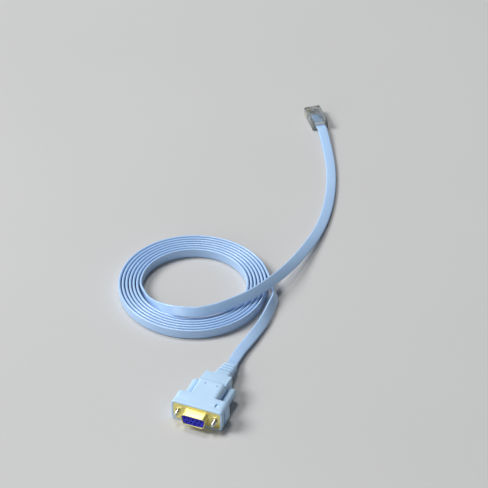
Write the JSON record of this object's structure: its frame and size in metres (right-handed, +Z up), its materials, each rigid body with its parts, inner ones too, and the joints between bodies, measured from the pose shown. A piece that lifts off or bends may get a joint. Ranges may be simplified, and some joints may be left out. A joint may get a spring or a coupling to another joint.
{
  "type": "console cable",
  "caption": "Flat light-blue console cable, coiled, with a D-shaped socket and thumbscrews on one end and a clear modular plug with a latch on the other.",
  "frame": {"origin": "under the middle of the socket hood's front collar, on the surface that the cable lies on", "axes": "+X along the socket's width, +Y from the socket's front face back towards the cable, +Z up"},
  "size_m": [0.1212, 0.3479, 0.0148],
  "materials": {
    "hood_plastic": "satin",
    "cable_plastic": "satin",
    "gold_plate": "bright",
    "insulator_plastic": "satin",
    "steel": "bright",
    "clear_plastic": "clear"
  },
  "bodies": {
    "cable_set": {"hood": "hood_plastic", "front_shell": "gold_plate", "insulator": "insulator_plastic", "socket_contact_1": "gold_plate", "socket_contact_2": "gold_plate", "socket_contact_3": "gold_plate", "socket_contact_4": "gold_plate", "socket_contact_5": "gold_plate", "socket_contact_6": "gold_plate", "socket_contact_7": "gold_plate", "socket_contact_8": "gold_plate", "socket_contact_9": "gold_plate", "cable_socket_stretch": "cable_plastic", "cable_coil": "cable_plastic", "cable_plug_stretch": "cable_plastic", "plug_body": "clear_plastic", "plug_blade_1": "gold_plate", "plug_blade_2": "gold_plate", "plug_blade_3": "gold_plate", "plug_blade_4": "gold_plate", "plug_blade_5": "gold_plate", "plug_blade_6": "gold_plate", "plug_blade_7": "gold_plate", "plug_blade_8": "gold_plate"},
    "thumbscrew_left": {"thumbscrew_grip_left": "hood_plastic", "thumbscrew_screw_left": "steel"},
    "thumbscrew_right": {"thumbscrew_grip_right": "hood_plastic", "thumbscrew_screw_right": "steel"}
  },
  "joints": [
    {"name": "thumbscrew_left_turn", "type": "hinge", "parent": "cable_set", "child": "thumbscrew_left", "pos_m": [-0.01249, 0.01, 0.0074], "axis": [0, 1, 0], "continuous": true},
    {"name": "thumbscrew_right_turn", "type": "hinge", "parent": "cable_set", "child": "thumbscrew_right", "pos_m": [0.01249, 0.01, 0.0074], "axis": [0, 1, 0], "continuous": true}
  ]
}
